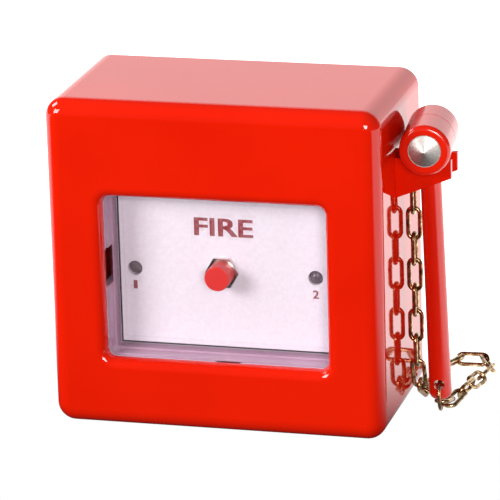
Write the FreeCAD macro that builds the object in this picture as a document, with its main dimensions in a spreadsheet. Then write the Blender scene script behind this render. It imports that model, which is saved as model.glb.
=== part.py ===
import FreeCAD, Part
import math
import os
import re
import Sketcher

# Manual call point: a glossy red wall box with a break-glass window, a push button behind
# the pane, and a small hammer that rests in a bracket on the box's right side on a chain.
# Millimetres. X runs across the front, +Y to the back (the wall side), +Z up.
# The origin is the middle of the box's underside. "front" below is the plane of the
# box's front face, and depths inside the box are counted back from it.

Vector = FreeCAD.Vector
doc = FreeCAD.newDocument("ManualCallPoint")
subparts = []

driving_sizes = {
    # the moulded box
    "width": 115.0, "height": 114.0, "depth": 60.0,
    "wall": 2.5, "face": 4.0, "corner": 6.5, "edge": 5.5,
    # the window in its front
    "window_wide": 77.0, "window_tall": 57.0, "window_low": 24.0,
    "window_corner": 3.0, "lip": 3.5,
    # slots at the window's left and lower edge, where the cover's clips come through
    "side_slot_low": 47.8, "side_slot_tall": 13.5, "low_slot_left": -1.5, "low_slot_wide": 9.0,
    # pane and printed label, as depths behind the front face
    "pane_front": 4.8, "pane_thick": 2.0, "pane_wide": 81.0, "pane_tall": 61.0,
    "tray_front": 6.95, "tray_step": 11.5, "label_front": 15.0, "label_thick": 1.8,
    "label_gap": 0.4, "tray_back": 18.0, "tray_wall": 2.6, "step_inset": 0.8,
    "flange_wide": 103.0, "flange_tall": 71.0, "flange_thick": 1.8,
    "flange_hole_out": 47.5, "flange_hole_up": 31.5,
    # button and indicators
    "button_left": 0.7, "button_up": 52.3, "cap_round": 4.3, "cap_front": 7.0, "cap_long": 8.2,
    "bush_bore": 4.36, "bush_round": 4.62, "bush_front": 13.2,
    "nut_flats": 10.1, "nut_thick": 1.4,
    "led_out": 31.5, "led_up": 52.0, "led_round": 2.45, "led_hole": 2.6,
    # circuit board
    "board_front": 30.0, "board_thick": 1.6, "board_wide": 72.0, "board_tall": 46.0,
    "post_out": 30.0, "post_up": 17.0,
    # back plate and its fixings
    "plate_thick": 3.0, "plate_gap": 0.3, "wall_hole_pitch": 80.0, "wall_hole_round": 2.25,
    "entry_round": 8.0, "cable_round": 3.2, "lug_out": 40.0,
    # hammer bracket
    "web_front": 23.0, "web_thick": 2.0, "web_pitch": 10.0, "bracket_reach": 19.0,
    "bracket_low": 79.0, "bracket_tip_low": 86.6, "bracket_top": 92.8,
    "seat_round": 9.05, "seat_up": 98.1,
    # hammer
    "head_x": 67.9, "head_back": 29.0, "head_up": 98.0, "head_round": 8.6, "head_long": 28.0,
    "head_split": 14.6, "tip_round": 5.5, "tip_deep": 9.6, "tip_point": 2.1,
    "handle_top_round": 3.5, "handle_end_round": 3.8, "handle_long": 91.0,
    "handle_yaw": 6.0, "handle_lean": 1.75, "ring_hole_up": 5.8, "ring_hole": 1.85,
    "ring_round": 5.2, "ring_wire": 0.6,
    # chain
    "link_wire": 0.75, "link_wide": 5.6, "link_long": 12.3, "link_pitch": 9.1,
}

sheet = doc.addObject("Spreadsheet::Sheet", "Sizes")
for row, (name, number) in enumerate(driving_sizes.items(), start=1):
    sheet.set("A%d" % row, name)
    sheet.set("B%d" % row, str(number))
    sheet.setAlias("B%d" % row, name)
doc.recompute()


def size(name):
    """A driving dimension's value, read from the sheet."""
    return float(sheet.get(name))


def cells(text):
    """An expression written with bare names, such as "width / 2", bound to the sheet."""
    return re.sub(r"\b(?!cos|tan)[a-z_]{3,}", lambda word: "Sizes." + word.group(), str(text))


def behind(depth):
    """The Y of a plane that lies this deep behind the front face."""
    return "(-depth / 2 + %s)" % depth


# ---------------------------------------------------------------- sketches and features

def new_body(label):
    body = doc.addObject("PartDesign::Body", label)
    body.Label = label
    subparts.append(body)
    return body


def new_sketch(body, plane, offset):
    """A sketch on one of the body's origin planes, moved to offset along +X, +Y or +Z."""
    role = {"X": "YZ_Plane", "Y": "XZ_Plane", "Z": "XY_Plane"}[plane]
    support = [item for item in body.Origin.OriginFeatures if item.Role == role][0]
    sketch = body.newObject("Sketcher::SketchObject", "Sketch")
    sketch.AttachmentSupport = [(support, "")]
    sketch.MapMode = "FlatFace"
    sign = "-" if plane == "Y" else ""
    sketch.setExpression("AttachmentOffset.Base.z", cells("%s(%s)" % (sign, offset)))
    return sketch


def constrain(sketch, kind, places, start, rule):
    index = sketch.addConstraint(Sketcher.Constraint(kind, *places, start))
    sketch.setExpression("Constraints[%d]" % index, cells(rule))


def add_polygon(sketch, points):
    """A closed outline of straight lines; each point is a pair of expressions."""
    first = sketch.GeometryCount
    count = len(points)
    # a rough regular outline that the constraints then pull into place
    rough = [Vector(30 * math.cos(2 * math.pi * k / count - 2.3),
                    30 * math.sin(2 * math.pi * k / count - 2.3), 0) for k in range(count)]
    for k in range(count):
        sketch.addGeometry(Part.LineSegment(rough[k], rough[(k + 1) % count]), False)
    for k in range(count):
        follow = first + (k + 1) % count
        sketch.addConstraint(Sketcher.Constraint("Coincident", first + k, 2, follow, 1))
    for k, (across, along) in enumerate(points):
        constrain(sketch, "DistanceX", (-1, 1, first + k, 1), rough[k].x, across)
        constrain(sketch, "DistanceY", (-1, 1, first + k, 1), rough[k].y, along)


def add_rectangle(sketch, across, along, wide, tall):
    """A rectangle from its lower left corner, all four given as expressions."""
    right = "(%s) + (%s)" % (across, wide)
    top = "(%s) + (%s)" % (along, tall)
    add_polygon(sketch, [(across, along), (right, along), (right, top), (across, top)])


def add_circle(sketch, across, along, radius):
    index = sketch.addGeometry(Part.Circle(Vector(5, 5, 0), Vector(0, 0, 1), 2), False)
    constrain(sketch, "Radius", (index,), 2.0, radius)
    constrain(sketch, "DistanceX", (-1, 1, index, 3), 5.0, across)
    constrain(sketch, "DistanceY", (-1, 1, index, 3), 5.0, along)


def grow(body, sketch, plane, length):
    """Pad the sketch towards +X, +Y or +Z."""
    pad = body.newObject("PartDesign::Pad", "Pad")
    pad.Profile = sketch
    pad.Reversed = plane == "Y"
    pad.setExpression("Length", cells(length))
    doc.recompute()
    return pad


def carve(body, sketch, plane, length):
    """Pocket the sketch towards +X, +Y or +Z, and make sure that it removed something."""
    before = body.Shape.Volume
    pocket = body.newObject("PartDesign::Pocket", "Pocket")
    pocket.Profile = sketch
    pocket.Reversed = plane != "Y"
    pocket.setExpression("Length", cells(length))
    doc.recompute()
    if body.Shape.Volume > before - 1e-6:
        raise RuntimeError("a pocket of %s cut nothing" % body.Label)
    return pocket


def soften(body, base, radius, keep, kind="Fillet"):
    """Fillet or chamfer every edge of base for which keep(edge) is true."""
    names = ["Edge%d" % (k + 1) for k, edge in enumerate(base.Shape.Edges) if keep(edge)]
    feature = body.newObject("PartDesign::" + kind, kind)
    feature.Base = (base, names)
    feature.setExpression("Radius" if kind == "Fillet" else "Size", cells(radius))
    doc.recompute()
    return feature


def runs_along(axis, inside=None):
    """Picks straight edges parallel to an axis, within a half-size box if one is given."""
    def keep(edge):
        if len(edge.Vertexes) != 2:
            return False
        way = edge.Vertexes[1].Point - edge.Vertexes[0].Point
        middle = edge.BoundBox.Center
        close = inside is None or inside(middle)
        return close and way.Length > 0.01 and abs(way.normalize().dot(axis)) > 0.999
    return keep


def lies_at_depth(depth, inside=None):
    """Picks edges that lie wholly in the plane Y = depth."""
    def keep(edge):
        box = edge.BoundBox
        flat = abs(box.YMin - depth) < 1e-4 and abs(box.YMax - depth) < 1e-4
        return flat and (inside is None or inside(box.Center))
    return keep


# ---------------------------------------------------------------- primitives and booleans

TURNS = {
    "X": FreeCAD.Rotation(Vector(0, 1, 0), 90),
    "Y": FreeCAD.Rotation(Vector(1, 0, 0), -90),
    "Z": FreeCAD.Rotation(),
}


def place(thing, base, along="Z"):
    thing.Placement = FreeCAD.Placement(Vector(), TURNS[along])
    for axis, rule in zip("xyz", base):
        thing.setExpression("Placement.Base." + axis, cells(rule))
    return thing


def box(sizes, base):
    thing = doc.addObject("Part::Box", "Box")
    for name, rule in zip(("Length", "Width", "Height"), sizes):
        thing.setExpression(name, cells(rule))
    return place(thing, base)


def cylinder(radius, length, base, along="Z"):
    thing = doc.addObject("Part::Cylinder", "Cylinder")
    thing.setExpression("Radius", cells(radius))
    thing.setExpression("Height", cells(length))
    return place(thing, base, along)


def cone(radius_low, radius_high, length, base, along="Z"):
    thing = doc.addObject("Part::Cone", "Cone")
    thing.setExpression("Radius1", cells(radius_low))
    thing.setExpression("Radius2", cells(radius_high))
    thing.setExpression("Height", cells(length))
    return place(thing, base, along)


def sphere(radius, base):
    thing = doc.addObject("Part::Sphere", "Sphere")
    thing.setExpression("Radius", cells(radius))
    return place(thing, base)


def joined(label, things):
    """One solid, or a group of separate solids, out of several primitives."""
    union = doc.addObject("Part::MultiFuse", label)
    union.Shapes = things
    union.Label = label
    return union


def cut(label, base, tools):
    """base with every tool taken away."""
    tool = tools[0] if len(tools) == 1 else joined("Tools", tools)
    result = doc.addObject("Part::Cut", label)
    result.Base = base
    result.Tool = tool
    result.Label = label
    return result


def group(label, things):
    """Separate solids that share one node, such as a set of equal screws."""
    bundle = doc.addObject("Part::Compound", label)
    bundle.Links = things
    bundle.Label = label
    subparts.append(bundle)
    return bundle


def keep_part(thing):
    subparts.append(thing)
    return thing


# ---------------------------------------------------------------- the box and its window

WINDOW_MID = "(window_low + window_tall / 2)"


def centred_opening(sketch, wide, tall):
    """A rectangle centred on the window."""
    add_rectangle(sketch, "-(%s) / 2" % wide, "%s - (%s) / 2" % (WINDOW_MID, tall), wide, tall)


def near_window(point):
    return (abs(point.x) < size("window_wide") / 2 + 1
            and size("window_low") - 1 < point.z < size("window_low") + size("window_tall") + 1)


def front_cover():
    body = new_body("front_cover")
    along_y = Vector(0, 1, 0)
    front = -size("depth") / 2

    outline = new_sketch(body, "Y", behind("0"))
    add_rectangle(outline, "-width / 2", "0 * width", "width", "height")
    block = grow(body, outline, "Y", "depth")
    rounded = soften(body, block, "corner", runs_along(along_y))
    rounded = soften(body, rounded, "edge", lies_at_depth(front))

    hollow = new_sketch(body, "Y", behind("face"))
    add_rectangle(hollow, "-width / 2 + wall", "wall", "width - 2 * wall", "height - 2 * wall")
    shell = carve(body, hollow, "Y", "depth - face")
    soften(body, shell, "corner - wall",
           runs_along(along_y, lambda p: abs(abs(p.x) - size("width") / 2 + size("wall")) < 0.1))

    opening = new_sketch(body, "Y", behind("0"))
    centred_opening(opening, "window_wide", "window_tall")
    aperture = carve(body, opening, "Y", "face")
    aperture = soften(body, aperture, "window_corner", runs_along(along_y, near_window))
    soften(body, aperture, "lip", lies_at_depth(front, near_window))

    # bosses that the label tray is screwed to
    bosses = new_sketch(body, "Y", behind("face - 0.5"))
    for side in ("-", ""):
        for height in ("-", "+"):
            middle = "%s %s flange_hole_up" % (WINDOW_MID, height)
            add_circle(bosses, side + "flange_hole_out", middle, "3.5")
            add_circle(bosses, side + "flange_hole_out", middle, "1.4")
    grow(body, bosses, "Y", "tray_step - face + 0.45")

    # the clips that show through the slots beside and below the pane
    clips = new_sketch(body, "Y", behind("face - 0.5"))
    add_rectangle(clips, "-pane_wide / 2 - 3.6", "side_slot_low + 0.3", "2.9", "side_slot_tall - 0.6")
    grow(body, clips, "Y", "tray_step - face + 0.3")
    clips = new_sketch(body, "Y", behind("face - 0.5"))
    add_rectangle(clips, "low_slot_left + 0.3", "%s - pane_tall / 2 - 2.9" % WINDOW_MID,
                  "low_slot_wide - 0.6", "2.7")
    grow(body, clips, "Y", "tray_front - face + 0.3")

    # ribs under the roof that the back plate hooks on to
    ribs = new_sketch(body, "Y", behind("depth - 9.7"))
    for left in ("-36", "24"):
        add_rectangle(ribs, left, "height - wall - 3", "12", "3.5")
    grow(body, ribs, "Y", "2")

    # countersunk holes in the floor for the two closing screws
    holes = new_sketch(body, "Z", "0 * wall")
    for side in ("-", ""):
        add_circle(holes, side + "lug_out", behind("depth - 8"), "1.7")
    floor = carve(body, holes, "Z", "wall")
    soften(body, floor, "1.5", lambda e: e.BoundBox.ZMax < 1e-4 and e.Length < 12, "Chamfer")

    # holes in the right wall for the bracket's screws
    holes = new_sketch(body, "X", "width / 2 - wall")
    for up in ("bracket_low + 3.4", "bracket_low + 9"):
        add_circle(holes, behind("web_front + 4.8"), up, "1.6")
    carve(body, holes, "X", "wall")


def glass_frame():
    body = new_body("glass_frame")
    ring = new_sketch(body, "Y", behind("face + 0.1"))
    centred_opening(ring, "pane_wide + 5", "pane_tall + 5")
    block = grow(body, ring, "Y", "tray_front - face - 0.2")
    soften(body, block, "2.5", runs_along(Vector(0, 1, 0)))
    hole = new_sketch(body, "Y", behind("face"))
    centred_opening(hole, "window_wide", "window_tall")
    through = carve(body, hole, "Y", "tray_front")
    soften(body, through, "window_corner", runs_along(Vector(0, 1, 0), near_window))
    rebate = new_sketch(body, "Y", behind("pane_front - 0.1"))
    centred_opening(rebate, "pane_wide + 0.6", "pane_tall + 0.6")
    carve(body, rebate, "Y", "tray_front")
    slot = new_sketch(body, "Y", behind("face"))
    add_rectangle(slot, "-pane_wide / 2 - 4", "side_slot_low", "6.5", "side_slot_tall")
    carve(body, slot, "Y", "tray_front")
    slot = new_sketch(body, "Y", behind("face"))
    add_rectangle(slot, "low_slot_left", "%s - pane_tall / 2 - 4" % WINDOW_MID,
                  "low_slot_wide", "6.5")
    carve(body, slot, "Y", "tray_front")


def glass_pane():
    body = new_body("glass_pane")
    sheet_outline = new_sketch(body, "Y", behind("pane_front"))
    centred_opening(sheet_outline, "pane_wide", "pane_tall")
    pane = grow(body, sheet_outline, "Y", "pane_thick")
    soften(body, pane, "1", runs_along(Vector(0, 1, 0)))


def label_tray():
    body = new_body("label_tray")
    along_y = Vector(0, 1, 0)
    rim = new_sketch(body, "Y", behind("tray_front"))
    centred_opening(rim, "window_wide + 2 * tray_wall", "window_tall + 2 * tray_wall")
    block = grow(body, rim, "Y", "tray_back - tray_front")
    soften(body, block, "4", runs_along(along_y))
    flange = new_sketch(body, "Y", behind("tray_step"))
    centred_opening(flange, "flange_wide", "flange_tall")
    grow(body, flange, "Y", "flange_thick")

    outer = new_sketch(body, "Y", behind("tray_front"))
    centred_opening(outer, "window_wide - 0.2", "window_tall - 0.2")
    band = carve(body, outer, "Y", "tray_step - tray_front")
    soften(body, band, "window_corner", runs_along(along_y, near_window))
    inner = new_sketch(body, "Y", behind("tray_step"))
    centred_opening(inner, "window_wide - 2 * step_inset", "window_tall - 2 * step_inset")
    carve(body, inner, "Y", "label_front + label_thick - tray_step")

    holes = new_sketch(body, "Y", behind("label_front"))
    for side in ("-", ""):
        add_circle(holes, side + "led_out", "led_up", "led_hole")
    add_circle(holes, "-button_left", "button_up", "bush_round + 0.1")
    carve(body, holes, "Y", "tray_back")
    holes = new_sketch(body, "Y", behind("tray_step"))
    for side in ("-", ""):
        for height in ("-", "+"):
            add_circle(holes, side + "flange_hole_out",
                       "%s %s flange_hole_up" % (WINDOW_MID, height), "1.7")
    carve(body, holes, "Y", "flange_thick")
    # the side slot goes right through; the lower one passes under a thin strip of the wall
    slot = new_sketch(body, "Y", behind("tray_front"))
    add_rectangle(slot, "-window_wide / 2 - tray_wall - 3", "side_slot_low", "tray_wall + 3.2",
                  "side_slot_tall")
    carve(body, slot, "Y", "tray_back - tray_front + 0.5")
    slot = new_sketch(body, "Y", behind("tray_front"))
    add_rectangle(slot, "low_slot_left", "%s - window_tall / 2 - tray_wall - 3" % WINDOW_MID,
                  "low_slot_wide", "tray_wall + 2.4")
    carve(body, slot, "Y", "tray_step - tray_front + flange_thick + 0.1")

    # posts behind the tray that carry the circuit board
    posts = new_sketch(body, "Y", behind("tray_back - 0.5"))
    for side in ("-", ""):
        for height in ("-", "+"):
            add_circle(posts, side + "post_out", "%s %s post_up" % (WINDOW_MID, height), "3")
            add_circle(posts, side + "post_out", "%s %s post_up" % (WINDOW_MID, height), "1.3")
    grow(body, posts, "Y", "board_front - tray_back + 0.45")


def label_plate():
    body = new_body("label_plate")
    card = new_sketch(body, "Y", behind("label_front"))
    centred_opening(card, "window_wide - 2 * step_inset - 2 * label_gap",
                    "window_tall - 2 * step_inset - 2 * label_gap")
    for side in ("-", ""):
        add_circle(card, side + "led_out", "led_up", "led_hole - 0.05")
    add_circle(card, "-button_left", "button_up", "bush_round + 0.05")
    grow(body, card, "Y", "label_thick - 0.05")


def tray_screws():
    screws = []
    for side in ("-", ""):
        for height in ("-", "+"):
            across = side + "flange_hole_out"
            up = "%s %s flange_hole_up" % (WINDOW_MID, height)
            head_plane = "tray_step + flange_thick + 0.02"
            head = cylinder("2.8", "1.8", (across, behind(head_plane), up), "Y")
            shank = cylinder("1.35", "8", (across, behind(head_plane + " - 8"), up), "Y")
            drive = box(("4", "1", "0.7"),
                        (across + " - 2", behind(head_plane + " + 1.1"), up + " - 0.35"))
            screws.append(cut("TrayScrew", joined("TrayScrewBlank", [head, shank]), [drive]))
    group("tray_screws", screws)


# ---------------------------------------------------------------- switch and button

def button_and_switch():
    axis_x = "-button_left"
    cap = cylinder("cap_round", "cap_long", (axis_x, behind("cap_front"), "button_up"), "Y")
    doc.recompute()
    round_cap = doc.addObject("Part::Fillet", "button_cap")
    round_cap.Base = cap
    front_edges = [k + 1 for k, edge in enumerate(cap.Shape.Edges)
                   if edge.BoundBox.YMax < size("cap_front") - size("depth") / 2 + 0.01]
    round_cap.Edges = [(k, 0.35, 0.35) for k in front_edges]
    round_cap.Label = "button_cap"
    keep_part(round_cap)

    plunger_front = "cap_front + cap_long"
    plunger = cylinder("1.5", "9", (axis_x, behind(plunger_front), "button_up"), "Y")
    plunger.Label = "button_plunger"
    keep_part(plunger)
    disc = cylinder("3.4", "0.5", (axis_x, behind("tray_back + 3.25"), "button_up"), "Y")
    bore = cylinder("1.5", "2", (axis_x, behind("tray_back + 2.5"), "button_up"), "Y")
    keep_part(cut("contact_bridge", disc, [bore]))

    sleeve = cylinder("bush_round", "tray_back - bush_front",
                      (axis_x, behind("bush_front"), "button_up"), "Y")
    bore = cylinder("bush_bore", "30", (axis_x, behind("bush_front - 1"), "button_up"), "Y")
    keep_part(cut("switch_bush", sleeve, [bore]))

    nut_blank = doc.addObject("Part::Prism", "NutBlank")
    nut_blank.Polygon = 6
    nut_blank.setExpression("Circumradius", cells("nut_flats / 2 / cos(30)"))
    nut_blank.setExpression("Height", cells("nut_thick"))
    nut_front = "label_front - 0.05 - nut_thick"
    place(nut_blank, (axis_x, behind(nut_front), "button_up"), "Y")
    bore = cylinder("bush_round", "5", (axis_x, behind(nut_front + " - 1"), "button_up"), "Y")
    keep_part(cut("switch_nut", nut_blank, [bore]))

    block = box(("14", "board_front - tray_back - 0.2", "14"),
                (axis_x + " - 7", behind("tray_back + 0.05"), "button_up - 7"))
    hollow = cylinder("4.6", "board_front - tray_back - 4.2",
                      (axis_x, behind("tray_back + 3.1"), "button_up"), "Y")
    bore = cylinder("1.6", "5", (axis_x, behind("tray_back - 1"), "button_up"), "Y")
    pin_places = (axis_x + " - 5.5", axis_x + " + 5.5")
    pins = [cylinder("0.5", "4", (across, behind("board_front - 3"), "button_up"), "Y")
            for across in pin_places]
    keep_part(cut("switch_body", block, [hollow, bore] + pins))
    group("switch_pins", [
        cylinder("0.45", "5", (across, behind("board_front - 2.8"), "button_up"), "Y")
        for across in pin_places])


def return_spring():
    """A coil between the contact bridge and the switch body's rear wall."""
    mean_round = 2.4
    wire = 0.25
    start = size("tray_back") + 3.8 + wire
    end = size("board_front") - 1.1 - wire
    helix = Part.makeHelix((end - start) / 5, end - start, mean_round)
    section = Part.Wire(Part.makeCircle(wire, Vector(mean_round, 0, 0), Vector(0, 1, 0)))
    coil = Part.Wire(helix).makePipeShell([section], True, True)
    spring = doc.addObject("Part::Feature", "return_spring")
    spring.Shape = coil
    spring.Label = "return_spring"
    spring.Placement = FreeCAD.Placement(
        Vector(-size("button_left"), start - size("depth") / 2, size("button_up")), TURNS["Y"])
    keep_part(spring)


# ---------------------------------------------------------------- circuit board and wiring

def indicator(label, side):
    across = side + "led_out"
    bulb = cylinder("led_round", "7", (across, behind("label_front + 2.6"), "led_up"), "Y")
    dome = sphere("led_round", (across, behind("label_front + 2.6"), "led_up"))
    collar = cylinder("2.9", "1", (across, behind("label_front + 8.6"), "led_up"), "Y")
    keep_part(joined(label, [bulb, dome, collar]))


def circuit_board():
    body = new_body("circuit_board")
    outline = new_sketch(body, "Y", behind("board_front"))
    centred_opening(outline, "board_wide", "board_tall")
    board = grow(body, outline, "Y", "board_thick")
    soften(body, board, "2", runs_along(Vector(0, 1, 0)))
    holes = new_sketch(body, "Y", behind("board_front"))
    for side in ("-", ""):
        for height in ("-", "+"):
            add_circle(holes, side + "post_out", "%s %s post_up" % (WINDOW_MID, height), "1.6")
        add_circle(holes, "-button_left + %s5.5" % side, "button_up", "0.55")
        for lead in ("-", "+"):
            add_circle(holes, "%sled_out %s 1.27" % (side, lead), "led_up", "0.4")
    carve(body, holes, "Y", "board_thick")


def board_parts():
    leads = []
    for side in ("-", ""):
        for lead in ("-", "+"):
            leads.append(cylinder("0.25", "board_front - label_front - 7.2",
                                  ("%sled_out %s 1.27" % (side, lead),
                                   behind("label_front + 9.6"), "led_up"), "Y"))
    group("led_leads", leads)

    screws = []
    for side in ("-", ""):
        for height in ("-", "+"):
            up = "%s %s post_up" % (WINDOW_MID, height)
            face = "board_front + board_thick + 0.02"
            head = cylinder("2.6", "1.6", (side + "post_out", behind(face), up), "Y")
            shank = cylinder("1.25", "7", (side + "post_out", behind(face + " - 7"), up), "Y")
            screws.append(joined("BoardScrew", [head, shank]))
    group("board_screws", screws)

    rear = "board_front + board_thick + 0.05"
    group("resistors", [
        cylinder("1.15", "6.3", (left, behind(rear + " + 1.15"), "led_up - 12"), "X")
        for left in ("-22", "-12", "6")])

    block = box(("20", "10", "8"), ("-10", behind(rear), "led_up + 8"))
    wells = []
    wire_ways = []
    screws = []
    for k in range(4):
        across = "%s" % (-7.5 + 5 * k)
        wells.append(cylinder("1.7", "6", (across, behind(rear + " + 5"), "led_up + 12"), "Y"))
        wire_ways.append(box(("3", "3", "6"),
                             ("%s - 1.5" % across, behind(rear + " + 1"), "led_up + 12")))
        head = cylinder("1.6", "2", (across, behind(rear + " + 6"), "led_up + 12"), "Y")
        drive = box(("4", "0.8", "0.5"),
                    (across + " - 2", behind(rear + " + 7.3"), "led_up + 11.75"))
        screws.append(cut("TerminalScrew", head, [drive]))
    keep_part(cut("terminal_block", block, wells + wire_ways))
    group("terminal_screws", screws)


# ---------------------------------------------------------------- back plate

def back_plate():
    body = new_body("back_plate")
    along_y = Vector(0, 1, 0)
    gap = "(wall + plate_gap)"
    outline = new_sketch(body, "Y", behind("depth - plate_thick"))
    add_rectangle(outline, "-width / 2 + " + gap, gap, "width - 2 * " + gap,
                  "height - 2 * " + gap)
    plate = grow(body, outline, "Y", "plate_thick")
    soften(body, plate, "corner - wall", runs_along(along_y))
    lugs = new_sketch(body, "Y", behind("depth - 12"))
    for side in ("-", ""):
        add_rectangle(lugs, side + "lug_out - 5", gap, "10", "7")
    grow(body, lugs, "Y", "12 - plate_thick + 0.5")
    hooks = new_sketch(body, "Y", behind("depth - 12"))
    for left in ("-35", "25"):
        add_rectangle(hooks, left, "height - wall - 6", "10", "2.6")
    grow(body, hooks, "Y", "12 - plate_thick + 0.5")
    hooks = new_sketch(body, "Y", behind("depth - 12"))
    for left in ("-35", "25"):
        add_rectangle(hooks, left, "height - wall - 4", "10", "2.6")
    grow(body, hooks, "Y", "1.9")

    holes = new_sketch(body, "Y", behind("depth - plate_thick"))
    for side in ("-", ""):
        for height in ("-", "+"):
            add_circle(holes, side + "wall_hole_pitch / 2",
                       "height / 2 %s wall_hole_pitch / 2" % height, "wall_hole_round")
    add_circle(holes, "0 * width", "height / 2", "entry_round")
    carve(body, holes, "Y", "plate_thick")
    pilots = new_sketch(body, "Z", "wall")
    for side in ("-", ""):
        add_circle(pilots, side + "lug_out", behind("depth - 8"), "1.45")
    carve(body, pilots, "Z", "8")


def closing_parts():
    screws = []
    for side in ("-", ""):
        across = side + "lug_out"
        middle = behind("depth - 8")
        head = cone("3", "1.4", "1.6", (across, middle, "0.15"))
        shank = cylinder("1.4", "7.5", (across, middle, "0.5"))
        drive = box(("3.6", "0.7", "0.6"), (across + " - 1.8", middle + " - 0.35", "0"))
        screws.append(cut("ClosingScrew", joined("ClosingScrewBlank", [head, shank]), [drive]))
    group("closing_screws", screws)

    middle = "height / 2"
    flange = cylinder("entry_round + 3", "2.4",
                      ("0 * width", behind("depth - plate_thick - 2.45"), middle), "Y")
    neck = cylinder("entry_round - 0.05", "plate_thick + 1",
                    ("0 * width", behind("depth - plate_thick - 1"), middle), "Y")
    bore = cylinder("cable_round", "20", ("0 * width", behind("depth - 15"), middle), "Y")
    keep_part(cut("cable_grommet", joined("GrommetBlank", [flange, neck]), [bore]))


# ---------------------------------------------------------------- bracket

def hammer_bracket():
    """A block on the side wall with two webs whose round seats carry the hammer's head."""
    wall_x = "(width / 2 + 0.05)"
    tip_x = "(width / 2 + bracket_reach)"
    body = new_body("hammer_bracket")
    profile = [(wall_x, "bracket_low"), (tip_x, "bracket_tip_low"),
               (tip_x, "bracket_top"), (wall_x, "bracket_top")]
    for start in ("web_front", "web_front + web_pitch"):
        web = new_sketch(body, "Y", behind(start))
        add_polygon(web, profile)
        grow(body, web, "Y", "web_thick")
        if start == "web_front":
            base = new_sketch(body, "Y", behind("web_front"))
            add_polygon(base, [(wall_x, "bracket_low"), ("width / 2 + 1.6", "bracket_low + 0.6"),
                               ("width / 2 + 1.6", "bracket_top"), (wall_x, "bracket_top")])
            grow(body, base, "Y", "web_pitch + web_thick")
            block = new_sketch(body, "Y", behind("web_front"))
            add_polygon(block, [(wall_x, "bracket_low"), ("width / 2 + 4.5", "bracket_low + 1.8"),
                                ("width / 2 + 4.5", "bracket_low + 11"),
                                (wall_x, "bracket_low + 11")])
            grow(body, block, "Y", "web_thick + 5.5")
    # the head lies askew, so each web has a seat of its own, centred on the head there
    for start in ("web_front", "web_front + web_pitch"):
        seat = new_sketch(body, "Y", behind(start + " - 0.5"))
        along_head = "(head_back - %s - web_thick / 2)" % start.replace(" + ", " - ")
        add_circle(seat, "head_x + %s * tan(handle_yaw)" % along_head, "seat_up", "seat_round")
        carve(body, seat, "Y", "web_thick + 1")
    hole = new_sketch(body, "Y", behind("web_front + web_pitch - 0.5"))
    add_circle(hole, "width / 2 + 3.5", "bracket_low + 4.5", "1.3")
    carve(body, hole, "Y", "web_thick + 1")
    pilots = new_sketch(body, "X", wall_x)
    for up in ("bracket_low + 3.4", "bracket_low + 9"):
        add_circle(pilots, behind("web_front + 4.8"), up, "1.2")
    carve(body, pilots, "X", "4.4")


def bracket_screws():
    screws = []
    for up in ("bracket_low + 3.4", "bracket_low + 9"):
        middle = behind("web_front + 4.8")
        head_x = "width / 2 - wall - 1.72"
        head = cylinder("2.6", "1.7", (head_x, middle, up), "X")
        shank = cylinder("1.15", "6.8", ("width / 2 - wall - 0.5", middle, up), "X")
        screws.append(joined("BracketScrew", [head, shank]))
    group("bracket_screws", screws)


# ---------------------------------------------------------------- hammer

def in_hand(thing):
    """Puts a hammer piece, built about the head's middle, where the hammer rests."""
    turn = FreeCAD.Rotation(Vector(0, 0, 1), size("handle_yaw"))
    lean = FreeCAD.Rotation(Vector(0, 1, 0), -size("handle_lean"))
    place_at = Vector(size("head_x"), size("head_back") - size("depth") / 2, size("head_up"))
    thing.Placement = FreeCAD.Placement(place_at, turn.multiply(lean))
    return keep_part(thing)


def bore_for_handle(body):
    bore = new_sketch(body, "Z", "-head_round - 1")
    add_circle(bore, "0 * width", "0 * width", "handle_top_round")
    carve(body, bore, "Z", "head_round")


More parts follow.
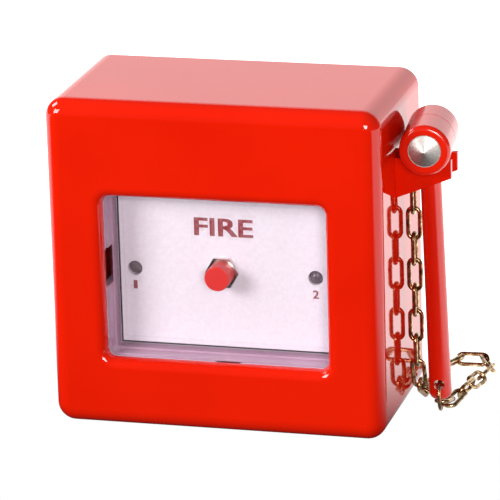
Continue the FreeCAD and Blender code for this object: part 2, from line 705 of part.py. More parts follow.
def hammer():
    front = "-head_long / 2"
    barrel = new_body("hammer_head")
    disc = new_sketch(barrel, "Y", front)
    add_circle(disc, "0 * width", "0 * width", "head_round")
    solid = grow(barrel, disc, "Y", "head_split")
    soften(barrel, solid, "1.7", lies_at_depth(-size("head_long") / 2))
    socket = new_sketch(barrel, "Y", front)
    add_circle(socket, "0 * width", "0 * width", "tip_round")
    carve(barrel, socket, "Y", "tip_deep")
    bore_for_handle(barrel)
    subparts.remove(barrel)
    in_hand(barrel)

    cap = new_body("hammer_rear_cap")
    neck = new_sketch(cap, "Y", front + " + head_split")
    add_circle(neck, "0 * width", "0 * width", "head_round - 0.8")
    grow(cap, neck, "Y", "1")
    disc = new_sketch(cap, "Y", front + " + head_split + 0.35")
    add_circle(disc, "0 * width", "0 * width", "head_round")
    solid = grow(cap, disc, "Y", "head_long - head_split - 0.35")
    soften(cap, solid, "1.6", lies_at_depth(size("head_long") / 2))
    bore_for_handle(cap)
    subparts.remove(cap)
    in_hand(cap)

    core = cylinder("tip_round - 0.02", "tip_deep - 0.05", ("0 * width", front, "0 * width"), "Y")
    point = cone("0.15", "tip_round - 0.3", "tip_point",
                 ("0 * width", front + " - tip_point", "0 * width"), "Y")
    in_hand(joined("hammer_tip", [core, point]))

    rod = cone("handle_end_round", "handle_top_round - 0.02", "handle_long - 1",
               ("0 * width", "0 * width", "-handle_long"))
    doc.recompute()
    rounded = doc.addObject("Part::Fillet", "RoundedRod")
    rounded.Base = rod
    ends = [k + 1 for k, edge in enumerate(rod.Shape.Edges)
            if edge.BoundBox.ZMax < -size("handle_long") + 0.01]
    rounded.Edges = [(k, 2.4, 2.4) for k in ends]
    hole = cylinder("ring_hole", "20", ("0 * width", "-10", "-handle_long + ring_hole_up"), "Y")
    in_hand(cut("hammer_handle", rounded, [hole]))

    ring = doc.addObject("Part::Torus", "handle_ring")
    ring.setExpression("Radius1", cells("ring_round"))
    ring.setExpression("Radius2", cells("ring_wire"))
    ring.Label = "handle_ring"
    # the ring hangs in a plane through the rod, its top wire near the roof of the hole
    drop = -size("handle_long") + size("ring_hole_up") + 0.85 - size("ring_round")
    in_hand(ring)
    upright = FreeCAD.Placement(Vector(0, 0, drop), TURNS["X"])
    ring.Placement = ring.Placement.multiply(upright)


# ---------------------------------------------------------------- chain

# The chain's route from the anchor ring down to the surface and round to the hammer:
# the control points of a quadratic spline. Each is (x, depth behind the front, height).
CHAIN_ROUTE = [
    (60.8, 35.6, 71.1), (60.8, 36.0, 45.0), (60.9, 36.6, 20.0), (61.1, 37.9, 8.6),
    (61.7, 44.5, 2.9), (62.2, 55.5, 2.8), (62.3, 66.5, 2.7), (62.6, 76.0, 2.7),
    (67.0, 83.6, 2.7), (74.6, 83.6, 2.7), (79.0, 76.0, 2.7), (77.4, 66.0, 2.7),
    (75.5, 56.0, 3.0), (73.6, 47.0, 3.1), (71.2, 39.6, 1.0),
]
HANGING_LINKS = 7
# how far each lying link leans over, in degrees: half way on the straight runs, square
# below the last hanging link, and the last one flat
LEANS = [0, 22, 45, 45, 45, 45, 45, 45, 45, 68, 90]
# where the last link's two ends lie: on the chain behind it, and in the hammer's ring
LAST_LINK = [(70.9, 40.6, 2.95), (70.55, 30.3, 5.3)]


def in_model(point):
    x, deep, up = point
    return Vector(x, deep - size("depth") / 2, up)


def chain_curve():
    poles = [in_model(point) for point in CHAIN_ROUTE]
    spans = len(poles) - 2
    curve = Part.BSplineCurve()
    curve.buildFromPolesMultsKnots(poles, [3] + [1] * (spans - 1) + [3],
                                   list(range(spans + 1)), False, 2)
    return curve


def walk(curve, here, pitch, count):
    """Steps of one pitch each, as the crow flies, until count or the curve's end."""
    joints = []
    place_now = curve.value(here)
    while len(joints) < count:
        high = here
        while (curve.value(high) - place_now).Length < pitch:
            high += 0.01
            if high > curve.LastParameter:
                return joints, here
        low = high - 0.01
        for _ in range(20):
            here = (low + high) / 2
            if (curve.value(here) - place_now).Length < pitch:
                low = here
            else:
                high = here
        place_now = curve.value(here)
        joints.append(place_now)
    return joints, here


def link_joints():
    """Hanging links at their taut pitch, then slacker ones that end at the route's end."""
    curve = chain_curve()
    hanging, here = walk(curve, curve.FirstParameter, size("link_pitch"), HANGING_LINKS)
    low, high = size("link_pitch") - 0.6, size("link_pitch")
    count = len(LEANS)
    for _ in range(12):
        pitch = (low + high) / 2
        if len(walk(curve, here, pitch, count)[0]) == count:
            low = pitch
        else:
            high = pitch
    return [curve.value(curve.FirstParameter)] + hanging + walk(curve, here, low, count)[0]


def link_shape(long, wide, wire):
    """A straight-sided oval link in the XZ plane, long along Z."""
    bend = wide / 2 - wire
    half = long / 2 - wide / 2
    top = Part.Arc(Vector(bend, 0, half), Vector(0, 0, half + bend), Vector(-bend, 0, half))
    foot = Part.Arc(Vector(-bend, 0, -half), Vector(0, 0, -half - bend), Vector(bend, 0, -half))
    left = Part.LineSegment(Vector(-bend, 0, half), Vector(-bend, 0, -half))
    right = Part.LineSegment(Vector(bend, 0, -half), Vector(bend, 0, half))
    path = Part.Wire([top.toShape(), left.toShape(), foot.toShape(), right.toShape()])
    section = Part.Wire(Part.makeCircle(wire, Vector(bend, 0, half), Vector(0, 0, 1)))
    return path.makePipeShell([section], True, True)


def laid_link(start, end, face, roll):
    """One link with its middle between two points, turned about its length by roll."""
    way = (end - start).normalize()
    basis = FreeCAD.Rotation(face.cross(way), face, way, "ZXY")
    link = link_shape(size("link_long"), size("link_wide"), size("link_wire"))
    spin = FreeCAD.Rotation(Vector(0, 0, 1), roll)
    link.Placement = FreeCAD.Placement((start + end) / 2, basis.multiply(spin))
    return link


def shape_part(label, shape):
    node = doc.addObject("Part::Feature", label)
    node.Shape = shape
    node.Label = label
    return keep_part(node)


def chain():
    joints = link_joints()
    links = []
    for k in range(len(joints) - 1):
        way = (joints[k + 1] - joints[k]).normalize()
        face = Vector(0, -1, 0) if k < HANGING_LINKS else Vector(0, 0, -1)
        face = (face - way * face.dot(way)).normalize()
        lean = 0 if k < HANGING_LINKS else LEANS[k - HANGING_LINKS]
        # each link is a quarter turn from the one before
        links.append(laid_link(joints[k], joints[k + 1], face, lean + 90 * (k % 2)))
    print("chain links:", len(links), "lowest:", min(link.BoundBox.ZMin for link in links))
    falling = HANGING_LINKS + 2
    shape_part("chain_hanging_links", Part.makeCompound(links[:falling]))
    shape_part("chain_lying_links", Part.makeCompound(links[falling:]))
    near, far = [in_model(point) for point in LAST_LINK]
    shape_part("chain_last_link", laid_link(near, far, Vector(0, 0, -1), 0))

    # the oval ring between the bracket's rear web and the first link
    wire = 0.65
    high = Vector(size("width") / 2 + 3.5,
                  size("web_front") + size("web_pitch") + 1 - size("depth") / 2,
                  size("bracket_low") + 4.8)
    low = joints[0] - Vector(0, 0, 0.75)
    upright = (low - high).normalize()
    ring = link_shape((high - low).Length + 2 * wire, 6.0, wire)
    basis = FreeCAD.Rotation(Vector(0, 1, 0), Vector(-1, 0, 0), upright, "ZXY")
    ring.Placement = FreeCAD.Placement((high + low) / 2, basis)
    shape_part("chain_anchor_ring", ring)


front_cover()
glass_frame()
glass_pane()
label_tray()
label_plate()
tray_screws()
button_and_switch()
return_spring()
indicator("led_ready", "-")
indicator("led_fire", "")
circuit_board()
board_parts()
back_plate()
closing_parts()
hammer_bracket()
bracket_screws()
hammer()
chain()
doc.recompute()

failed = [item.Label for item in doc.Objects
          if "Invalid" in item.State or "Error" in item.State]
for part in subparts:
    if part.Shape.isNull() or not part.Shape.isValid():
        failed.append(part.Label)
if failed:
    raise RuntimeError("failed: " + ", ".join(failed))

os.makedirs("parts", exist_ok=True)
for part in subparts:
    part.Shape.exportStep("parts/%s.step" % part.Label)
print("sub-parts:", len(subparts))
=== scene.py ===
import math

import bmesh
import bpy
from mathutils import Matrix, Vector


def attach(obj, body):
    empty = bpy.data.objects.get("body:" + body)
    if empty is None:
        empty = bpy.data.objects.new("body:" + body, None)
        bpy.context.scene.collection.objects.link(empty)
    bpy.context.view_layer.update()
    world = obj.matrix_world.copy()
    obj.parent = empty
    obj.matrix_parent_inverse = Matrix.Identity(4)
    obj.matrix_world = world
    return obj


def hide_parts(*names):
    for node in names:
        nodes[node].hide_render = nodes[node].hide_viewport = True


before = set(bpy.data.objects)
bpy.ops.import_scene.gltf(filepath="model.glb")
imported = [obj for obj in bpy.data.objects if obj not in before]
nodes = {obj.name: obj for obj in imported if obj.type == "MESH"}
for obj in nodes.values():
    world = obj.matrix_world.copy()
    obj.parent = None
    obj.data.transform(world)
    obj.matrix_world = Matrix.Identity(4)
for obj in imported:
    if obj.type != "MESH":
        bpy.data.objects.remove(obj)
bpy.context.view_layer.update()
scene = bpy.context.scene
mm = 0.001
print("frame loaded:", len(nodes), "CAD nodes")


boxSize = {"width": 115.0, "height": 114.0, "depth": 60.0}


def atDepth(x, depth, up):
    # a point given in mm, its depth counted back from the box's front face
    return Vector((x, depth - boxSize["depth"] / 2, up)) * mm


cameraView = {
    "place": (0.34345, -1.22049, 0.45956),
    "target": (0.01317, -0.030, 0.06559),
    "roll": -1.65,           # degrees
    "lens": 281.86, "sensor": 36.0,    # mm
    "clipEnd": 10.0,         # metres
}


def placeCamera():
    data = bpy.data.cameras.new("camera")
    data.lens = cameraView["lens"]
    data.sensor_width = cameraView["sensor"]
    data.clip_end = cameraView["clipEnd"]
    camera = bpy.data.objects.new("camera", data)
    scene.collection.objects.link(camera)
    place = Vector(cameraView["place"])
    forward = (Vector(cameraView["target"]) - place).normalized()
    right = forward.cross(Vector((0, 0, 1))).normalized()
    up = right.cross(forward)
    roll = math.radians(cameraView["roll"])
    across = right * math.cos(roll) + up * math.sin(roll)
    upright = -right * math.sin(roll) + up * math.cos(roll)
    turn = Matrix((across, upright, -forward)).transposed().to_4x4()
    camera.matrix_world = Matrix.Translation(place) @ turn
    scene.camera = camera


placeCamera()


def newMaterial(name):
    material = bpy.data.materials.new(name)
    material.use_nodes = True
    tree = material.node_tree
    shader = next(n for n in tree.nodes if n.type == "BSDF_PRINCIPLED")
    return material, tree, shader


def addNode(tree, kind, **values):
    node = tree.nodes.new(kind)
    for name, value in values.items():
        node.inputs[name].default_value = value
    return node


def objectNoise(tree, scale, detail=4.0, rough=0.5):
    # noise in the piece's own metres, so it stays with the piece in every pose
    where = addNode(tree, "ShaderNodeTexCoord")
    noise = addNode(tree, "ShaderNodeTexNoise", Scale=scale, Detail=detail, Roughness=rough)
    tree.links.new(where.outputs["Object"], noise.inputs["Vector"])
    return noise.outputs["Fac"]


def mathOf(tree, operation, *terms):
    node = addNode(tree, "ShaderNodeMath")
    node.operation = operation
    for socket, term in zip(node.inputs, terms):
        if isinstance(term, (int, float)):
            socket.default_value = term
        else:
            tree.links.new(term, socket)
    return node.outputs[0]


def rampOf(tree, source, stops):
    ramp = addNode(tree, "ShaderNodeValToRGB")
    tree.links.new(source, ramp.inputs["Fac"])
    elements = ramp.color_ramp.elements
    while len(elements) < len(stops):
        elements.new(0.5)
    for element, (place, color) in zip(elements, stops):
        element.position = place
        element.color = (*color, 1.0)
    return ramp.outputs["Color"]


def roughFrom(tree, shader, source, low, high):
    span = addNode(tree, "ShaderNodeMapRange")
    span.inputs["To Min"].default_value = low
    span.inputs["To Max"].default_value = high
    tree.links.new(source, span.inputs["Value"])
    tree.links.new(span.outputs["Result"], shader.inputs["Roughness"])


def bumpFrom(tree, shader, source, distance):
    bump = addNode(tree, "ShaderNodeBump", Strength=1.0, Distance=distance)
    tree.links.new(source, bump.inputs["Height"])
    tree.links.new(bump.outputs["Normal"], shader.inputs["Normal"])


redPlastic = {
    "deep": (0.70, 0.0095, 0.0004), "bright": (0.77, 0.0120, 0.0006),
    "ripple": 0.000012, "rough": (0.035, 0.06), "ior": 1.5,
    "insideRough": 0.65, "insideShine": 0.08,
    "insideFrom": 2.2, "insideBehind": 3.9,    # mm in from the walls' and the front's outside
}


def insideBox(tree):
    # 1 on the walls' inner faces, which are left dull from the mould, 0 outside
    where = addNode(tree, "ShaderNodeTexCoord")
    split = addNode(tree, "ShaderNodeSeparateXYZ")
    tree.links.new(where.outputs["Object"], split.inputs["Vector"])
    halfWide, halfHigh, halfDeep = [boxSize[key] / 2 for key in ("width", "height", "depth")]
    inward = redPlastic["insideFrom"]
    aside = mathOf(tree, "LESS_THAN", mathOf(tree, "ABSOLUTE", split.outputs["X"]),
                   (halfWide - inward) * mm)
    up = mathOf(tree, "SUBTRACT", split.outputs["Z"], halfHigh * mm)
    between = mathOf(tree, "LESS_THAN", mathOf(tree, "ABSOLUTE", up), (halfHigh - inward) * mm)
    within = mathOf(tree, "MULTIPLY", aside, between)
    behind = mathOf(tree, "GREATER_THAN", split.outputs["Y"],
                    (redPlastic["insideBehind"] - halfDeep) * mm)
    return mathOf(tree, "MULTIPLY", within, behind)


def glossyRed(name, values=redPlastic):
    # moulded and polished: faint flow marks in the colour, a very slight ripple
    material, tree, shader = newMaterial(name)
    flow = objectNoise(tree, 24.0, 3.0)
    color = rampOf(tree, flow, [(0.3, values["deep"]), (0.7, values["bright"])])
    tree.links.new(color, shader.inputs["Base Color"])
    inside = insideBox(tree)
    low, high = values["rough"]
    polish = mathOf(tree, "MULTIPLY_ADD", objectNoise(tree, 140.0), high - low, low)
    dull = mathOf(tree, "MULTIPLY", inside, values["insideRough"])
    tree.links.new(mathOf(tree, "MAXIMUM", polish, dull), shader.inputs["Roughness"])
    shine = mathOf(tree, "MULTIPLY_ADD", inside, values["insideShine"] - 0.5, 0.5)
    tree.links.new(shine, shader.inputs["Specular IOR Level"])
    bumpFrom(tree, shader, objectNoise(tree, 60.0, 2.0), values["ripple"])
    shader.inputs["IOR"].default_value = values["ior"]
    return material


def mouldedPlastic(name, dark, light, rough=(0.3, 0.45), grain=0.00001, ior=1.48):
    material, tree, shader = newMaterial(name)
    color = rampOf(tree, objectNoise(tree, 60.0), [(0.35, dark), (0.65, light)])
    tree.links.new(color, shader.inputs["Base Color"])
    roughFrom(tree, shader, objectNoise(tree, 400.0), *rough)
    bumpFrom(tree, shader, objectNoise(tree, 1500.0, 2.0), grain)
    shader.inputs["IOR"].default_value = ior
    return material


def metal(name, dark, light, rough):
    material, tree, shader = newMaterial(name)
    grain = objectNoise(tree, 900.0, 3.0, 0.6)
    color = rampOf(tree, grain, [(0.3, dark), (0.7, light)])
    tree.links.new(color, shader.inputs["Base Color"])
    roughFrom(tree, shader, grain, *rough)
    bumpFrom(tree, shader, grain, 0.000004)
    shader.inputs["Metallic"].default_value = 1.0
    return material


def paneGlass():
    # clear flat glass that lets the light straight through
    material, tree, shader = newMaterial("paneGlass")
    shader.inputs["Base Color"].default_value = (0.97, 0.985, 0.985, 1)
    shader.inputs["IOR"].default_value = 1.45
    shader.inputs["Transmission Weight"].default_value = 1.0
    shader.inputs["Alpha"].default_value = 0.07
    roughFrom(tree, shader, objectNoise(tree, 90.0), 0.0, 0.02)
    return material


def printedCard():
    # satin card under the print: a faint lilac white with a fine tooth
    material, tree, shader = newMaterial("printedCard")
    tooth = objectNoise(tree, 900.0, 3.0)
    color = rampOf(tree, tooth, [(0.3, (0.80, 0.71, 0.80)), (0.7, (0.86, 0.78, 0.86))])
    tree.links.new(color, shader.inputs["Base Color"])
    roughFrom(tree, shader, tooth, 0.45, 0.6)
    bumpFrom(tree, shader, tooth, 0.000006)
    return material


def chainWire():
    # plated wire: colour spotted at random from near-black brown to pale gold; the near-black end is
    # painted shade, darkened for the chain's deep shading
    material, tree, shader = newMaterial("chainWire")
    spotsAndPaintedShade = objectNoise(tree, 420.0, 5.0, 0.65)
    # the near-black stop stands in for shade on the wire: painted shade
    color = rampOf(tree, spotsAndPaintedShade, [(0.36, (0.07, 0.03, 0.01)), (0.50, (0.42, 0.26, 0.12)),
                                 (0.66, (0.86, 0.68, 0.44))])
    tree.links.new(color, shader.inputs["Base Color"])
    roughFrom(tree, shader, spotsAndPaintedShade, 0.34, 0.16)
    bumpFrom(tree, shader, objectNoise(tree, 1600.0, 2.0), 0.00001)
    shader.inputs["Metallic"].default_value = 1.0
    return material


def turnedSteel():
    # the hammer's tip: dull steel with a fine tooth
    material, tree, shader = newMaterial("turnedSteel")
    fine = objectNoise(tree, 2600.0, 3.0)
    color = rampOf(tree, fine, [(0.3, (0.46, 0.42, 0.39)), (0.7, (0.72, 0.67, 0.63))])
    tree.links.new(color, shader.inputs["Base Color"])
    roughFrom(tree, shader, fine, 0.40, 0.52)
    bumpFrom(tree, shader, fine, 0.000008)
    shader.inputs["Metallic"].default_value = 1.0
    return material


finish = {
    "redShell": glossyRed("redShell"),
    "hammerRed": glossyRed("hammerRed", dict(redPlastic, rough=(0.15, 0.22), ripple=0.00002,
                                             ior=1.65)),
    "turnedSteel": turnedSteel(),
    "paneGlass": paneGlass(),
    # the frame and the tray are the same white plastic, made as two copies with painted shade: the
    # frame a lilac grey, the tray darker for the shade deeper in the window
    "whitePlastic": mouldedPlastic("whitePlastic", (0.68, 0.47, 0.60), (0.76, 0.54, 0.68),
                                   (0.12, 0.2)),
    "whitePlasticPaintedShade": mouldedPlastic("whitePlasticPaintedShade", (0.50, 0.31, 0.42), (0.56, 0.36, 0.48),
                                    (0.12, 0.2)),
    "printedCard": printedCard(),
    # near-black for the painted shadow of the gap between the label card and the tray
    "gapShadowPaint": mouldedPlastic("gapShadowPaint", (0.006, 0.001, 0.002), (0.012, 0.002, 0.004),
                                (0.7, 0.8), 0.000002, 1.2),
    "buttonRed": mouldedPlastic("buttonRed", (0.66, 0.030, 0.028), (0.74, 0.040, 0.036),
                                (0.30, 0.42)),
    "nickel": metal("nickel", (0.62, 0.60, 0.56), (0.80, 0.78, 0.74), (0.12, 0.22)),
    "darkPlastic": mouldedPlastic("darkPlastic", (0.018, 0.018, 0.02), (0.03, 0.03, 0.034)),
    "ledLens": mouldedPlastic("ledLens", (0.10, 0.07, 0.085), (0.15, 0.10, 0.12), (0.12, 0.2)),
    "boardGreen": mouldedPlastic("boardGreen", (0.012, 0.10, 0.03), (0.02, 0.16, 0.05), (0.18, 0.3)),
    "resistorBody": mouldedPlastic("resistorBody", (0.45, 0.33, 0.18), (0.55, 0.42, 0.25)),
    "terminalGreen": mouldedPlastic("terminalGreen", (0.02, 0.20, 0.06), (0.03, 0.26, 0.09)),
    "zincSteel": metal("zincSteel", (0.48, 0.49, 0.50), (0.68, 0.69, 0.70), (0.2, 0.36)),
    "springSteel": metal("springSteel", (0.35, 0.36, 0.38), (0.55, 0.56, 0.58), (0.2, 0.32)),
    "contactMetal": metal("contactMetal", (0.60, 0.40, 0.14), (0.78, 0.56, 0.26), (0.18, 0.3)),
    "backRed": mouldedPlastic("backRed", (0.42, 0.006, 0.004), (0.50, 0.010, 0.006), (0.32, 0.45)),
    "blackRubber": mouldedPlastic("blackRubber", (0.015, 0.015, 0.015), (0.03, 0.03, 0.03),
                                  (0.55, 0.75)),
    "chainWire": chainWire(),
}
print("materials:", len(finish))

nodeFinish = {
    "front_cover": "redShell", "glass_frame": "whitePlastic", "glass_pane": "paneGlass",
    # label_tray takes the darker copy of the white plastic, a painted shade
    "label_tray": "whitePlasticPaintedShade", "label_plate": "printedCard", "tray_screws": "zincSteel",
    "button_cap": "buttonRed", "button_plunger": "darkPlastic", "contact_bridge": "contactMetal",
    "return_spring": "springSteel", "switch_bush": "nickel", "switch_nut": "nickel",
    "switch_body": "darkPlastic", "switch_pins": "contactMetal", "led_ready": "ledLens",
    "led_fire": "ledLens", "led_leads": "nickel", "circuit_board": "boardGreen",
    "board_screws": "zincSteel", "resistors": "resistorBody", "terminal_block": "terminalGreen",
    "terminal_screws": "zincSteel", "back_plate": "backRed", "closing_screws": "zincSteel",
    "cable_grommet": "blackRubber", "hammer_bracket": "redShell", "bracket_screws": "zincSteel",
    "hammer_head": "hammerRed", "hammer_rear_cap": "hammerRed", "hammer_tip": "turnedSteel",
    "hammer_handle": "hammerRed", "handle_ring": "chainWire", "chain_anchor_ring": "chainWire",
}
for nodeName, finishName in nodeFinish.items():
    nodes[nodeName].data.materials.clear()
    nodes[nodeName].data.materials.append(finish[finishName])


chain = {
    "route": [
        (60.8, 35.6, 71.1), (60.8, 36.0, 45.0), (60.9, 36.6, 20.0), (61.1, 37.9, 8.6),
        (61.7, 44.5, 2.9), (62.2, 55.5, 2.8), (62.3, 66.5, 2.7), (62.6, 76.0, 2.7),
        (67.0, 83.6, 2.7), (74.6, 83.6, 2.7), (79.0, 76.0, 2.7), (77.4, 66.0, 2.7),
        (75.5, 56.0, 3.0), (73.6, 47.0, 3.1), (71.2, 39.6, 1.0),
    ],
    "lastLink": [(70.9, 40.6, 2.95), (70.55, 30.3, 5.3)],
    "hanging": 7, "pitch": 9.1, "slackRange": (8.5, 9.1),
    "leans": [0, 22, 45, 45, 45, 45, 45, 45, 45, 68, 90],   # degrees, the lying links
    "linkLong": 12.3, "linkWide": 5.6, "wire": 0.75,      # mm, wire is a radius
    "bendPoints": 10, "wirePoints": 16,        # round each of a link's corners and its wire
    "stepHalvings": 24, "slackHalvings": 14,   # how often a step and the slack are narrowed
}


def routeCurve():
    data = bpy.data.curves.new("chainRoute", "CURVE")
    data.dimensions = "3D"
    data.resolution_u = 48
    spline = data.splines.new("NURBS")
    spline.points.add(len(chain["route"]) - 1)
    for point, place in zip(spline.points, chain["route"]):
        point.co = (*atDepth(*place), 1.0)
    spline.order_u = 3
    spline.use_endpoint_u = True
    return bpy.data.objects.new("chainRoute", data)


def pointsAlong(curveObject):
    scene.collection.objects.link(curveObject)
    graph = bpy.context.evaluated_depsgraph_get()
    line = bpy.data.meshes.new_from_object(curveObject.evaluated_get(graph))
    points = [v.co.copy() for v in line.vertices]
    bpy.data.meshes.remove(line)
    bpy.data.objects.remove(curveObject)
    return points


def walk(points, start, pitch, count):
    # steps of one pitch each, as the crow flies, along the fine polyline
    place, index = start
    joints = []
    while len(joints) < count:
        while index < len(points) and (points[index] - place).length < pitch:
            index += 1
        if index == len(points):
            break
        low, high = points[index - 1], points[index]
        for _ in range(chain["stepHalvings"]):
            middle = (low + high) / 2
            if (middle - place).length < pitch:
                low = middle
            else:
                high = middle
        place = high
        joints.append(place)
    return joints, (place, index)


def chainJoints(points):
    hanging, here = walk(points, (points[0], 0), chain["pitch"] * mm, chain["hanging"])
    low, high = [value * mm for value in chain["slackRange"]]
    count = len(chain["leans"])
    for _ in range(chain["slackHalvings"]):
        pitch = (low + high) / 2
        if len(walk(points, here, pitch, count)[0]) == count:
            low = pitch
        else:
            high = pitch
    return [points[0]] + hanging + walk(points, here, low, count)[0]


def linkStations(joints):
    # middle, direction and face of each link; each is a quarter turn from its neighbour
    stations = []
    for k in range(len(joints) - 1):
        way = (joints[k + 1] - joints[k]).normalized()
        face = Vector((0, -1, 0)) if k < chain["hanging"] else Vector((0, 0, -1))
        face = (face - way * face.dot(way)).normalized()
        lean = 0 if k < chain["hanging"] else chain["leans"][k - chain["hanging"]]
        spin = Matrix.Rotation(math.radians(lean + 90 * (k % 2)), 3, way)
        stations.append(((joints[k] + joints[k + 1]) / 2, way, spin @ face))
    return stations


def linkTree():
    # a wire link on every station point, turned to the point's own two directions
    tree = bpy.data.node_groups.new("wireLinks", "GeometryNodeTree")
    face = tree.interface
    face.new_socket("Stations", in_out="INPUT", socket_type="NodeSocketGeometry")
    for name in ("Length", "Width", "Wire Radius"):
        face.new_socket(name, in_out="INPUT", socket_type="NodeSocketFloat")
    face.new_socket("Finish", in_out="INPUT", socket_type="NodeSocketMaterial")
    face.new_socket("Links", in_out="OUTPUT", socket_type="NodeSocketGeometry")
    make = tree.nodes.new
    join = tree.links.new
    given = make("NodeGroupInput")
    result = make("NodeGroupOutput")

    doubleWire = mathOf(tree, "MULTIPLY", given.outputs["Wire Radius"], 2.0)
    innerWide = mathOf(tree, "SUBTRACT", given.outputs["Width"], doubleWire)
    innerLong = mathOf(tree, "SUBTRACT", given.outputs["Length"], doubleWire)
    outline = make("GeometryNodeCurvePrimitiveQuadrilateral")
    join(innerWide, outline.inputs["Width"])
    join(innerLong, outline.inputs["Height"])
    rounded = make("GeometryNodeFilletCurve")
    rounded.mode = "POLY"
    rounded.inputs["Count"].default_value = chain["bendPoints"]
    join(outline.outputs["Curve"], rounded.inputs["Curve"])
    nearlyHalf = mathOf(tree, "MULTIPLY", innerWide, 0.499)
    join(nearlyHalf, rounded.inputs["Radius"])
    section = make("GeometryNodeCurvePrimitiveCircle")
    section.inputs["Resolution"].default_value = chain["wirePoints"]
    join(given.outputs["Wire Radius"], section.inputs["Radius"])
    wire = make("GeometryNodeCurveToMesh")
    join(rounded.outputs["Curve"], wire.inputs["Curve"])
    join(section.outputs["Curve"], wire.inputs["Profile Curve"])

    def ownDirection(name):
        node = make("GeometryNodeInputNamedAttribute")
        node.data_type = "FLOAT_VECTOR"
        node.inputs["Name"].default_value = name
        return node.outputs["Attribute"]

    axes = make("FunctionNodeAxesToRotation")
    axes.primary_axis = "Y"
    axes.secondary_axis = "Z"
    join(ownDirection("way"), axes.inputs["Primary Axis"])
    join(ownDirection("face"), axes.inputs["Secondary Axis"])
    spread = make("GeometryNodeInstanceOnPoints")
    join(given.outputs["Stations"], spread.inputs["Points"])
    join(wire.outputs["Mesh"], spread.inputs["Instance"])
    join(axes.outputs["Rotation"], spread.inputs["Rotation"])
    real = make("GeometryNodeRealizeInstances")
    join(spread.outputs["Instances"], real.inputs["Geometry"])
    smooth = make("GeometryNodeSetShadeSmooth")
    join(real.outputs["Geometry"], smooth.inputs["Geometry"])
    paint = make("GeometryNodeSetMaterial")
    join(smooth.outputs["Geometry"], paint.inputs["Geometry"])
    join(given.outputs["Finish"], paint.inputs["Material"])
    join(paint.outputs["Geometry"], result.inputs["Links"])
    return tree


def socketId(tree, name):
    return next(item.identifier for item in tree.interface.items_tree
                if item.name == name and item.in_out == "INPUT")


def bakedByTree(name, mesh, tree, values):
    # run the tree once on the mesh and keep only the plain mesh it makes
    source = bpy.data.objects.new(name + "Source", mesh)
    scene.collection.objects.link(source)
    modifier = source.modifiers.new("make", "NODES")
    modifier.node_group = tree
    for socket, value in values.items():
        modifier[socketId(tree, socket)] = value
    graph = bpy.context.evaluated_depsgraph_get()
    baked = bpy.data.meshes.new_from_object(source.evaluated_get(graph))
    source.modifiers.clear()
    bpy.data.objects.remove(source)
    piece = bpy.data.objects.new(name, baked)
    scene.collection.objects.link(piece)
    return piece


def stationMesh(stations):
    mesh = bpy.data.meshes.new("stations")
    mesh.from_pydata([middle for middle, _, _ in stations], [], [])
    for name, index in (("way", 1), ("face", 2)):
        layer = mesh.attributes.new(name, "FLOAT_VECTOR", "POINT")
        for k, station in enumerate(stations):
            layer.data[k].vector = station[index]
    return mesh


def makeLinks(name, stations, tree):
    return bakedByTree(name, stationMesh(stations), tree, {
        "Length": chain["linkLong"] * mm, "Width": chain["linkWide"] * mm,
        "Wire Radius": chain["wire"] * mm, "Finish": finish["chainWire"]})


routePoints = pointsAlong(routeCurve())
wireLinks = linkTree()
joints = chainJoints(routePoints)
chainLinks = makeLinks("chainLinks", linkStations(joints), wireLinks)
near, far = [atDepth(*place) for place in chain["lastLink"]]
lastWay = (far - near).normalized()
lastFace = Vector((0, 0, -1))
lastFace = (lastFace - lastWay * lastFace.dot(lastWay)).normalized()
lastLink = makeLinks("chainLastLink", [((near + far) / 2, lastWay, lastFace)], wireLinks)
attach(chainLinks, "call_point")
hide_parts("chain_hanging_links", "chain_lying_links")
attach(lastLink, "hammer")
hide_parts("chain_last_link")


labelPrint = {
    "depth": 15.0, "lift": 0.012,          # mm behind the front, and between the copies
    "lines": [
        # words, left x, right x, baseline z, capital height, in mm
        ("FIRE", -10.0, 10.0, 65.0, 6.0),
        ("1", -32.1, -31.0, 44.8, 2.8),
        ("2", 30.6, 32.4, 44.8, 2.8),
    ],
    "edge": 37.2, "low": 25.3, "high": 79.7, "gapShadow": 0.65,    # mm, a dark line round the card: painted shadow of the gap between the card and the tray
    "bold": 0.05,              # how far the copies of a line are shifted, in capital heights
    "boldShifts": [(-1, -0.5), (-1, 0.5), (0, 0), (1, -0.5), (1, 0.5)],
}


def inkMaterial():
    material, tree, shader = newMaterial("darkRedInk")
    speck = objectNoise(tree, 1800.0, 3.0)
    color = rampOf(tree, speck, [(0.3, (0.24, 0.012, 0.018)), (0.7, (0.31, 0.018, 0.026))])
    tree.links.new(color, shader.inputs["Base Color"])
    roughFrom(tree, shader, speck, 0.4, 0.55)
    return material


def letteredLine(words, left, right, baseline, capHeight):
    curve = bpy.data.curves.new("words", "FONT")
    curve.body = words
    text = bpy.data.objects.new("words", curve)
    scene.collection.objects.link(text)
    graph = bpy.context.evaluated_depsgraph_get()
    mesh = bpy.data.meshes.new_from_object(text.evaluated_get(graph))
    bpy.data.objects.remove(text)
    xs = [v.co.x for v in mesh.vertices]
    ys = [v.co.y for v in mesh.vertices]
    wide = (right - left) / (max(xs) - min(xs))
    tall = capHeight / (max(ys) - min(ys))
    bold = bmesh.new()
    shift = labelPrint["bold"] * capHeight
    for k, (aside, above) in enumerate(labelPrint["boldShifts"]):
        copy = mesh.copy()
        for v in copy.vertices:
            v.co = atDepth(left + (v.co.x - min(xs)) * wide + aside * shift,
                           labelPrint["depth"] - labelPrint["lift"] * (k + 1),
                           baseline + (v.co.y - min(ys)) * tall + above * shift)
        bold.from_mesh(copy)
        bpy.data.meshes.remove(copy)
    bold.to_mesh(mesh)
    bold.free()
    return mesh


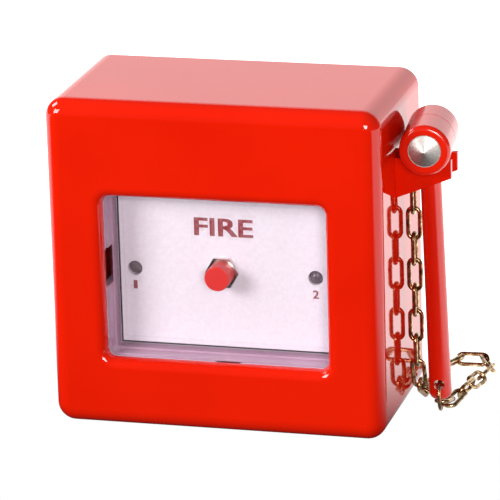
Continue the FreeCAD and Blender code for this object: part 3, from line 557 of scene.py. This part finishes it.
def gapShadowMesh():
    # a thin dark line along the card's edge: painted shadow of the gap between the card and the tray
    across, low, high, line = [labelPrint[key] for key in ("edge", "low", "high", "gapShadow")]
    depth = labelPrint["depth"] - labelPrint["lift"]
    outer = [(-across, low), (across, low), (across, high), (-across, high)]
    inner = [(-across + line, low + line), (across - line, low + line),
             (across - line, high - line), (-across + line, high - line)]
    mesh = bpy.data.meshes.new("gapShadow")
    mesh.from_pydata([atDepth(x, depth, z) for x, z in outer + inner], [],
                     [(k, (k + 1) % 4, (k + 1) % 4 + 4, k + 4) for k in range(4)])
    return mesh


def printLabel():
    ink = inkMaterial()
    # the dark line round the card is a painted shadow of the gap there
    gapShadow = gapShadowMesh()
    gapShadow.materials.append(finish["gapShadowPaint"])
    gapShadowLine = bpy.data.objects.new("labelGapShadow", gapShadow)
    scene.collection.objects.link(gapShadowLine)
    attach(gapShadowLine, "call_point")
    for k, line in enumerate(labelPrint["lines"]):
        mesh = letteredLine(*line)
        mesh.materials.clear()
        mesh.materials.append(ink)
        piece = bpy.data.objects.new("labelLine%d" % k, mesh)
        scene.collection.objects.link(piece)
        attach(piece, "call_point")


printLabel()
print("label printed")


studio = {
    "floorHalf": 3.0,                          # metres
    "floorDark": 0.03, "floorBright": 1.80,    # what lights the object from the floor
    "floorRamp": (0.02, 0.15),                 # metres, from the dark front to the bright rear
    "sideShares": (0.9, 0.4),                  # how far right and left count towards the rear
    "skyDark": 0.10, "skyBright": 1.30,
    "skyRamp": (0.60, 0.84),
    "lamps": [
        # place, target, size in m, power in W
        ((-1.0, -1.15, 0.62), (0, 0, 0.05), (0.7, 0.6), 20.3),
        ((0.55, -1.45, 0.50), (0, 0, 0.05), (0.5, 0.5), 16.0),
        ((-1.2, 0.0, 1.1), (0, 0, 0.08), (0.6, 0.6), 14.0),
    ],
}


def rampBetween(tree, source, span, low, high):
    node = addNode(tree, "ShaderNodeMapRange")
    node.interpolation_type = "SMOOTHSTEP"
    for name, value in (("From Min", span[0]), ("From Max", span[1]),
                        ("To Min", low), ("To Max", high)):
        node.inputs[name].default_value = value
    tree.links.new(source, node.inputs["Value"])
    return node.outputs["Result"]


def whiteToViewer(tree, strength):
    # plain white where it is looked at directly, the given light everywhere else
    seen = addNode(tree, "ShaderNodeLightPath").outputs["Is Camera Ray"]
    return mathOf(tree, "MAXIMUM", seen, strength)


def floorPlane():
    half = studio["floorHalf"]
    mesh = bpy.data.meshes.new("floor")
    mesh.from_pydata([(-half, -half, 0), (half, -half, 0), (half, half, 0), (-half, half, 0)],
                     [], [(0, 1, 2, 3)])
    floor = bpy.data.objects.new("floor", mesh)
    material, tree, shader = newMaterial("litFloor")
    where = addNode(tree, "ShaderNodeTexCoord")
    split = addNode(tree, "ShaderNodeSeparateXYZ")
    tree.links.new(where.outputs["Object"], split.inputs["Vector"])
    right, left = studio["sideShares"]
    across = split.outputs["X"]
    aside = mathOf(tree, "MAXIMUM", mathOf(tree, "MULTIPLY", across, right),
                   mathOf(tree, "MULTIPLY", across, -left))
    back = mathOf(tree, "ADD", split.outputs["Y"], aside)
    light = rampBetween(tree, back, studio["floorRamp"], studio["floorDark"],
                        studio["floorBright"])
    shader.inputs["Base Color"].default_value = (0, 0, 0, 1)
    shader.inputs["Specular IOR Level"].default_value = 0
    shader.inputs["Emission Color"].default_value = (1, 1, 1, 1)
    tree.links.new(whiteToViewer(tree, light), shader.inputs["Emission Strength"])
    mesh.materials.append(material)
    scene.collection.objects.link(floor)


def makeWorld():
    world = bpy.data.worlds.new("studio")
    world.use_nodes = True
    tree = world.node_tree
    sky = next(n for n in tree.nodes if n.type == "BACKGROUND")
    sky.inputs["Color"].default_value = (1, 1, 1, 1)
    where = addNode(tree, "ShaderNodeTexCoord")
    split = addNode(tree, "ShaderNodeSeparateXYZ")
    tree.links.new(where.outputs["Generated"], split.inputs["Vector"])
    light = rampBetween(tree, split.outputs["Y"], studio["skyRamp"], studio["skyDark"],
                        studio["skyBright"])
    tree.links.new(whiteToViewer(tree, light), sky.inputs["Strength"])
    scene.world = world


def placeLamps():
    for k, (place, target, sizes, power) in enumerate(studio["lamps"]):
        data = bpy.data.lights.new("softbox%d" % k, "AREA")
        data.shape = "RECTANGLE"
        data.size, data.size_y = sizes
        data.energy = power
        lamp = bpy.data.objects.new("softbox%d" % k, data)
        lamp.location = place
        way = Vector(target) - Vector(place)
        lamp.rotation_euler = way.to_track_quat("-Z", "Y").to_euler()
        lamp.visible_camera = False
        scene.collection.objects.link(lamp)


def buildStudio():
    floorPlane()
    makeWorld()
    placeLamps()
    scene.view_settings.view_transform = "Standard"


buildStudio()

print("studio ready")
